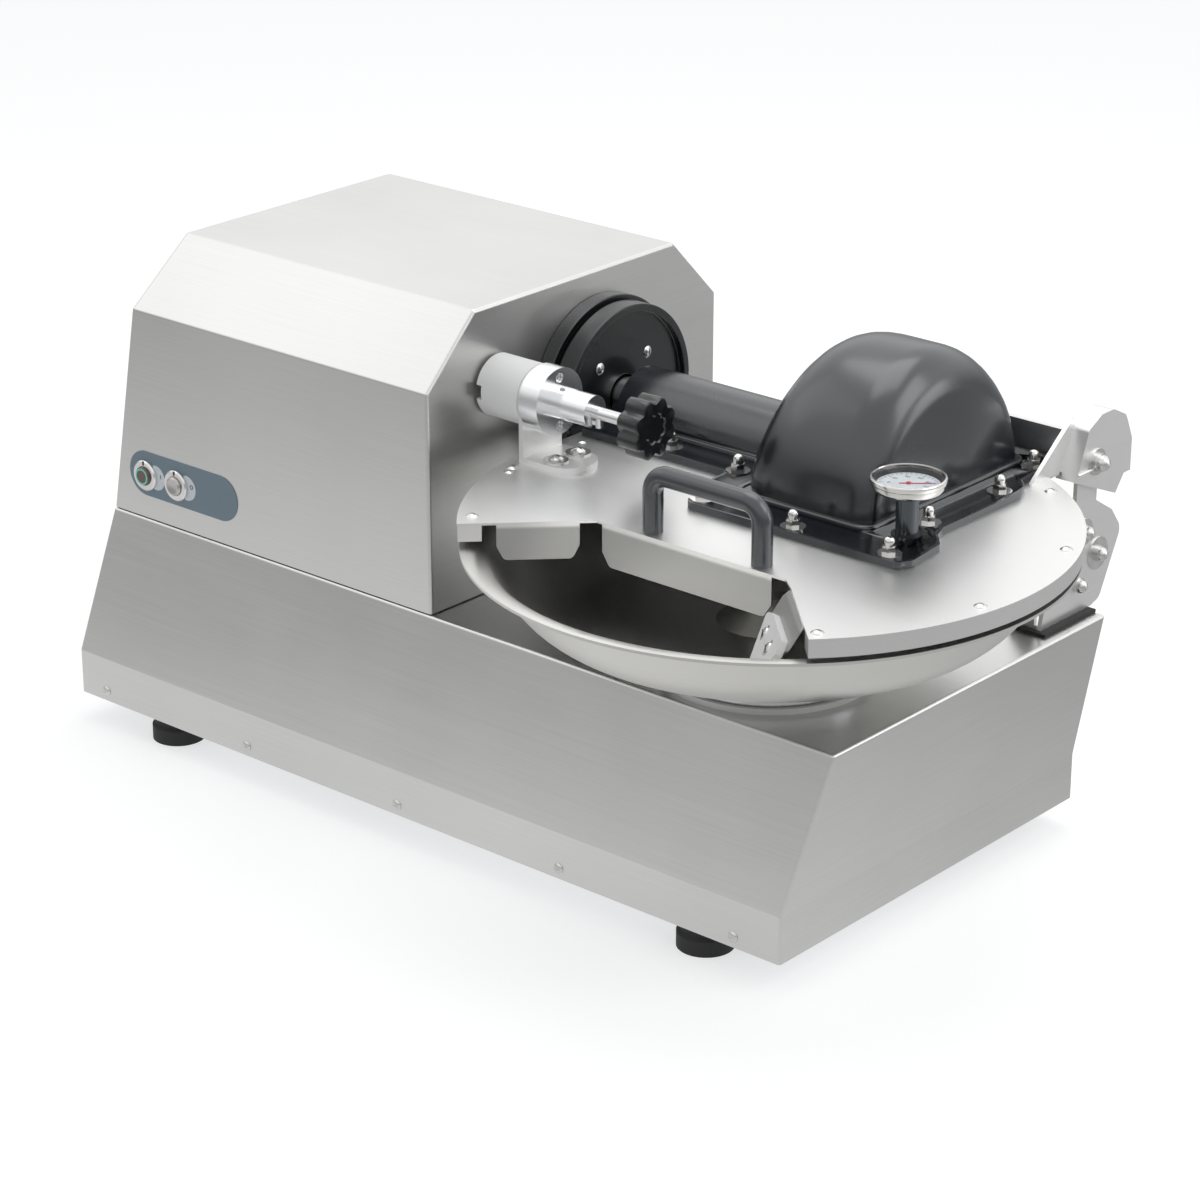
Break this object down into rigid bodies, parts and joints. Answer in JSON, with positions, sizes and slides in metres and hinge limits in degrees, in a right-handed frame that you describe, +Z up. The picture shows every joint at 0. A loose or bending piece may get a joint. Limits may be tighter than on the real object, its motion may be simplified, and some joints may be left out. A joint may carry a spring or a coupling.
{
  "type": "meat bowl cutter",
  "caption": "Bench bowl cutter: motor housing on a leaning sheet-metal base, a turning bowl, knives under a domed hinged lid with feed opening, lock knob and dial thermometer.",
  "frame": {"origin": "on the floor plane, under the middle of the overall box", "axes": "+X towards the bowl end, +Y towards the back with the lid hinges, +Z up"},
  "size_m": [0.9875, 0.5904, 0.477],
  "materials": {
    "brushed_body": "satin brushed",
    "brushed_lid": "fine brushed",
    "bent_stainless": "satin",
    "bowl_steel": "spun, satin outside",
    "zinc_sheet": "zinc plated sheet",
    "black_rubber": "matte",
    "bright_screw": "polished",
    "chrome_nut": "polished",
    "overlay_blue": "satin film",
    "button_metal": "satin chrome",
    "start_green": "lit lens",
    "stop_plain": "satin",
    "black_gloss": "gloss",
    "cast_housing": "grey paint",
    "bearing_steel": "ground",
    "pulley_aluminium": "turned",
    "blade_steel": "ground edge",
    "turntable_chrome": "polished",
    "seat_plastic": "matte",
    "black_nylon": "matte",
    "black_satin": "satin",
    "handle_black": "satin",
    "knob_black": "gloss",
    "white_nylon": "satin",
    "turned_aluminium": "turned bright",
    "thermo_steel": "polished",
    "thermo_glass": "clear",
    "pointer_red": "painted"
  },
  "bodies": {
    "machine": {"base_shell": "brushed_body", "bottom_pan": "zinc_sheet", "bowl_gearmotor": "cast_housing", "bracket_bolts": "bright_screw", "button_bezels": "button_metal", "cable_gland": "black_nylon", "contactor_box": "black_nylon", "control_overlay": "overlay_blue", "drive_belt": "black_rubber", "flange_screws": "bright_screw", "foot_front_left": "black_rubber", "foot_front_right": "black_rubber", "foot_rear_left": "black_rubber", "foot_rear_right": "black_rubber", "hinge_bracket_left": "bent_stainless", "hinge_bracket_right": "bent_stainless", "hinge_pads": "black_rubber", "housing_seal": "black_rubber", "knife_bearing_housing": "cast_housing", "knife_motor": "cast_housing", "motor_housing": "brushed_body", "shaft_bearings": "bearing_steel", "shaft_flange": "black_gloss", "skirt_screws": "bright_screw", "turntable_seat": "seat_plastic"},
    "bowl": {"bowl": "bowl_steel", "bowl_knob": "bowl_steel", "bowl_spindle": "bearing_steel", "bowl_turntable": "turntable_chrome"},
    "knife_head": {"knife_shaft": "bearing_steel", "driven_pulley": "pulley_aluminium", "knife_blade_1": "blade_steel", "knife_blade_2": "blade_steel", "knife_blade_3": "blade_steel", "knife_spacers": "bearing_steel", "knife_nut": "bearing_steel"},
    "motor_rotor": {"motor_shaft": "bearing_steel", "drive_pulley": "pulley_aluminium"},
    "lid": {"lid_plate": "brushed_lid", "lid_ring": "brushed_lid", "lid_rear_wall": "brushed_lid", "hinge_ear_left": "bent_stainless", "hinge_ear_right": "bent_stainless", "hinge_pins": "bright_screw", "lid_cover": "black_satin", "cover_nuts": "chrome_nut", "lid_handle": "handle_black", "lid_screws": "bright_screw", "bowl_scraper": "white_nylon", "lock_bracket": "bent_stainless", "lock_sleeve": "white_nylon", "lock_guide": "turned_aluminium", "thermometer_stem": "thermo_steel", "thermometer_case": "thermo_steel", "thermometer_glass": "thermo_glass"},
    "lock_plunger": {"lock_rod": "bearing_steel", "star_knob": "knob_black"},
    "thermometer_pointer": {"thermometer_pointer": "pointer_red"},
    "start_button": {"start_button": "start_green"},
    "stop_button": {"stop_button": "stop_plain"}
  },
  "joints": [
    {"name": "bowl_spin", "type": "hinge", "parent": "machine", "child": "bowl", "pos_m": [0.23425, -0.036, 0.25], "axis": [0, 0, 1], "continuous": true},
    {"name": "knife_spin", "type": "hinge", "parent": "machine", "child": "knife_head", "pos_m": [0.08125, 0.088, 0.364], "axis": [1, 0, 0], "continuous": true},
    {"name": "motor_spin", "type": "hinge", "parent": "machine", "child": "motor_rotor", "pos_m": [-0.16875, 0.088, 0.135], "axis": [1, 0, 0], "continuous": true},
    {"name": "lid_hinge", "type": "hinge", "parent": "machine", "child": "lid", "pos_m": [0.23425, 0.241, 0.3545], "axis": [-1, 0, 0], "range_deg": [0, 88]},
    {"name": "lock_slide", "type": "slide", "parent": "lid", "child": "lock_plunger", "axis": [-1, 0, 0], "range_m": [0, 0.012]},
    {"name": "pointer_turn", "type": "hinge", "parent": "lid", "child": "thermometer_pointer", "pos_m": [0.35825, -0.0155, 0.403], "axis": [0, 0, 1], "range_deg": [-210, 60]},
    {"name": "start_press", "type": "slide", "parent": "machine", "child": "start_button", "axis": [0, 1, 0], "range_m": [0, 0.0025], "stiffness_N_per_m": 500},
    {"name": "stop_press", "type": "slide", "parent": "machine", "child": "stop_button", "axis": [0, 1, 0], "range_m": [0, 0.0025], "stiffness_N_per_m": 500}
  ],
  "couplings": [
    {"joint": "motor_spin", "follows": "knife_spin", "ratio": 0.76923}
  ]
}
